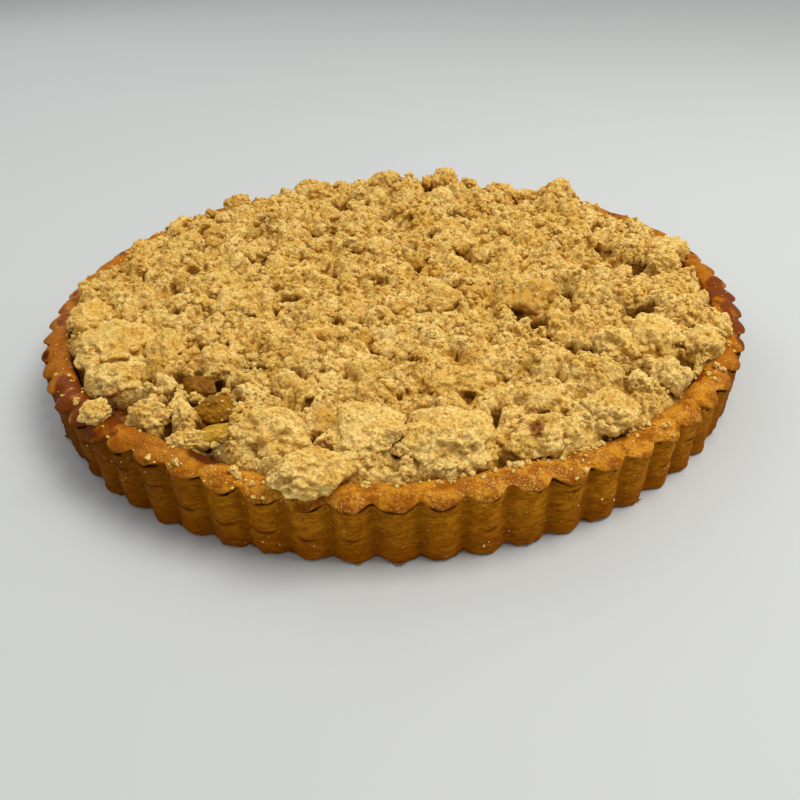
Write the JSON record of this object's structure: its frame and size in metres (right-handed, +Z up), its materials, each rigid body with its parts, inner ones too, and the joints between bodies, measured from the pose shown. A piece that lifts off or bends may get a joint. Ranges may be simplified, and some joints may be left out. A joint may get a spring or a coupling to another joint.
{
  "type": "apple crumb tart",
  "caption": "Round fluted pastry tart filled with dark apple filling under a heap of golden crumb clumps.",
  "frame": {"origin": "centre of the flat base, at the base", "axes": "+Z up through the crumb; the pictured front of the tart faces -Y"},
  "size_m": [0.2799, 0.2799, 0.0392],
  "materials": {
    "crust": "baked shortcrust pastry, matt golden brown, darker in the valleys of the flutes",
    "filling": "cooked apple and its juice, glossy dark caramel brown",
    "apple": "cooked apple, moist amber",
    "crumb": "baked butter crumb, matt and grainy, pale gold with toasted patches"
  },
  "bodies": {
    "root": {"crust": "crust", "filling": "filling", "apple_chunk_1": "apple", "apple_chunk_2": "apple", "apple_chunk_3": "apple", "crumb_topping": "crumb", "rim_lump_front": "crumb", "rim_lump_left": "crumb"}
  },
  "joints": []
}
